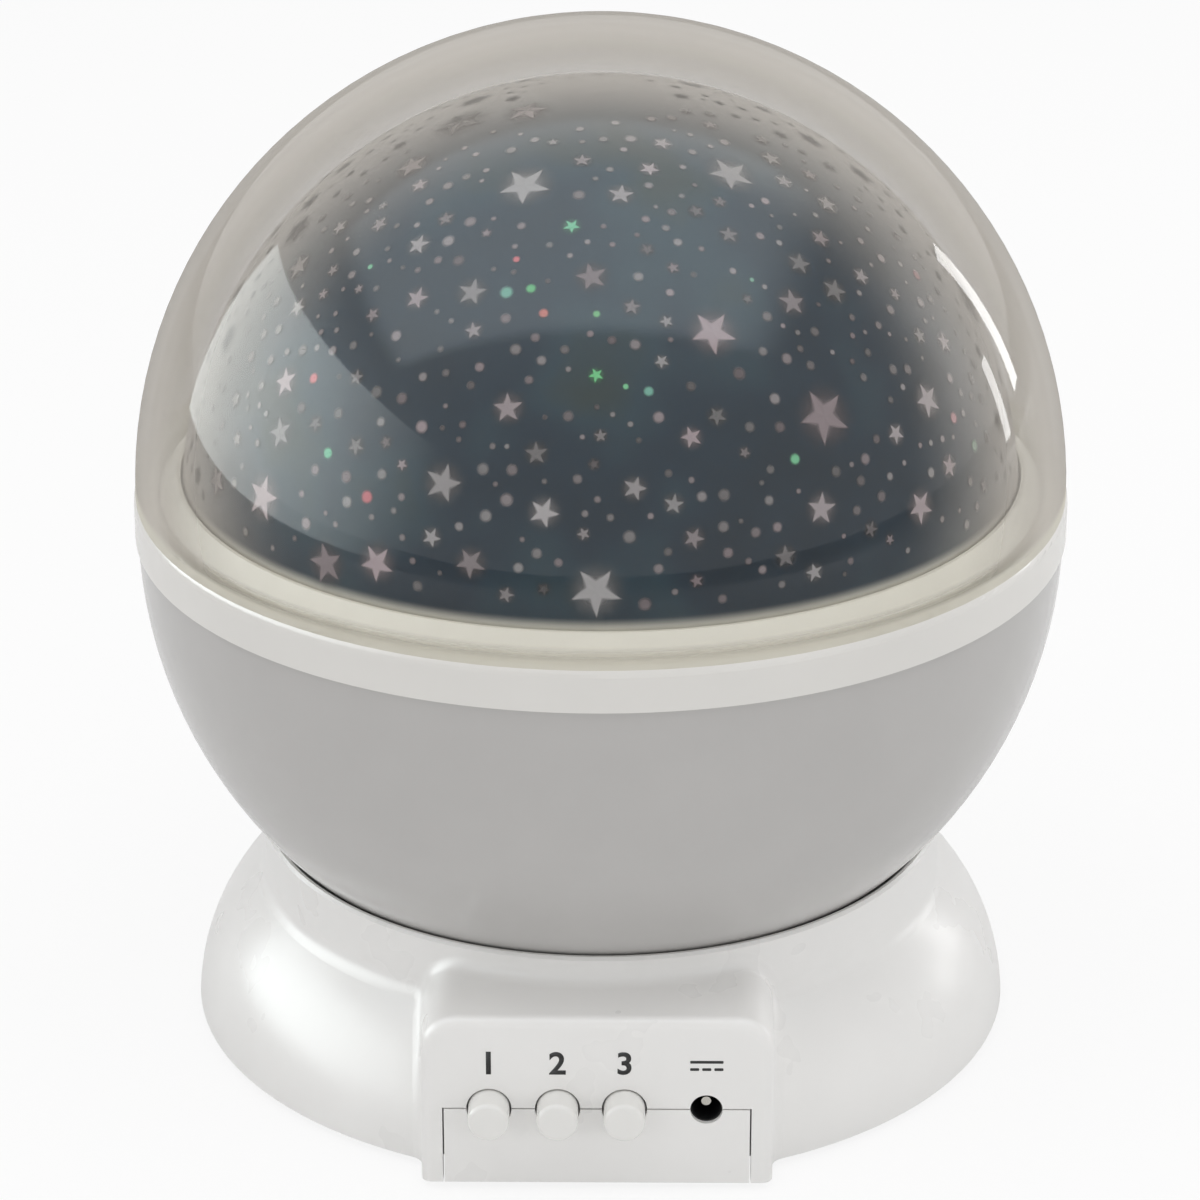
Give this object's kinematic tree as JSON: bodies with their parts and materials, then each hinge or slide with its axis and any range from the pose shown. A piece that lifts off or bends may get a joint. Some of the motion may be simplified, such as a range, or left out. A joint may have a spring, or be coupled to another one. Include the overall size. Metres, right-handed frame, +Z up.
{
  "type": "planetarium projector",
  "caption": "Tabletop star projector night light: a ball with a clear cover over a dark star dome turns on a flared base with push buttons and a DC inlet.",
  "frame": {"origin": "centre of the footprint on the resting surface, on the ball's turning axis", "axes": "+Z up along the turning axis, the control panel faces -Y, +X to the right seen from the front"},
  "size_m": [0.1284, 0.1284, 0.1425],
  "materials": {
    "white_abs": "glossy injection moulding",
    "grey_abs": "glossy injection moulding",
    "clear_cover": "clear, polished, faintly milky",
    "smoked_dome": "dark printed film look with light star windows",
    "cream_abs": "satin",
    "natural_nylon": "matt moulding",
    "acetal": "matt moulding",
    "rubber": "matt",
    "zinc_steel": "zinc plated",
    "motor_steel": "drawn steel can",
    "spring_steel": "nickel plated",
    "cell_jacket": "printed film",
    "circuit_board": "green solder mask",
    "lamp_board_white": "white solder mask",
    "black_nylon": "matt moulding",
    "nickel_pin": "nickel plated",
    "capacitor_sleeve": "shrink sleeve",
    "lead_white": "soft insulation",
    "lead_red": "soft insulation",
    "led_clear": "clear resin",
    "led_red_tint": "tinted resin",
    "led_green_tint": "tinted resin",
    "led_blue_tint": "tinted resin"
  },
  "bodies": {
    "base": {"base_housing": "white_abs", "base_plate": "white_abs", "base_screws": "zinc_steel", "battery_cell_1": "cell_jacket", "battery_cell_2": "cell_jacket", "battery_cell_3": "cell_jacket", "battery_cell_4": "cell_jacket", "battery_contacts": "spring_steel", "battery_cover": "white_abs", "battery_cover_screw": "zinc_steel", "battery_leads": "lead_red", "battery_springs": "spring_steel", "board_capacitor": "capacitor_sleeve", "board_chip": "black_nylon", "board_screws": "zinc_steel", "colour_switch": "black_nylon", "column_screws": "zinc_steel", "dc_jack": "black_nylon", "dc_jack_pin": "nickel_pin", "foot_front_left": "rubber", "foot_front_right": "rubber", "foot_rear_left": "rubber", "foot_rear_right": "rubber", "gear_motor": "motor_steel", "lamp_board": "lamp_board_white", "lamp_column": "natural_nylon", "lamp_cup": "natural_nylon", "lamp_lead": "lead_white", "led_blue": "led_blue_tint", "led_green": "led_green_tint", "led_red": "led_red_tint", "led_warm": "led_clear", "light_switch": "black_nylon", "main_board": "circuit_board", "motor_leads": "lead_red", "motor_screws": "zinc_steel", "spin_switch": "black_nylon"},
    "ball": {"lower_bowl": "grey_abs", "dome_ring": "white_abs", "star_collar": "cream_abs", "star_dome": "smoked_dome", "ring_gear": "acetal", "gear_screws": "zinc_steel", "hub_bush": "acetal"},
    "cover": {"outer_dome": "clear_cover"},
    "pinion": {"motor_pinion": "acetal", "motor_shaft": "zinc_steel"},
    "light_button": {"light_button": "white_abs", "light_plunger": "black_nylon"},
    "colour_button": {"colour_button": "white_abs", "colour_plunger": "black_nylon"},
    "spin_button": {"spin_button": "white_abs", "spin_plunger": "black_nylon"}
  },
  "joints": [
    {"name": "ball_spin", "type": "hinge", "parent": "base", "child": "ball", "pos_m": [0, 0, 0.0727], "axis": [0, 0, 1], "continuous": true},
    {"name": "pinion_spin", "type": "hinge", "parent": "base", "child": "pinion", "pos_m": [0, 0.0331, 0.0238], "axis": [0, 0, 1], "continuous": true},
    {"name": "cover_lift", "type": "slide", "parent": "ball", "child": "cover", "axis": [0, 0, 1], "range_m": [0, 0.075]},
    {"name": "light_press", "type": "slide", "parent": "base", "child": "light_button", "axis": [0, 1, 0], "range_m": [0, 0.001], "stiffness_N_per_m": 1500},
    {"name": "colour_press", "type": "slide", "parent": "base", "child": "colour_button", "axis": [0, 1, 0], "range_m": [0, 0.001], "stiffness_N_per_m": 1500},
    {"name": "spin_press", "type": "slide", "parent": "base", "child": "spin_button", "axis": [0, 1, 0], "range_m": [0, 0.001], "stiffness_N_per_m": 1500}
  ],
  "couplings": [
    {"joint": "pinion_spin", "follows": "ball_spin", "ratio": -3.7143}
  ]
}
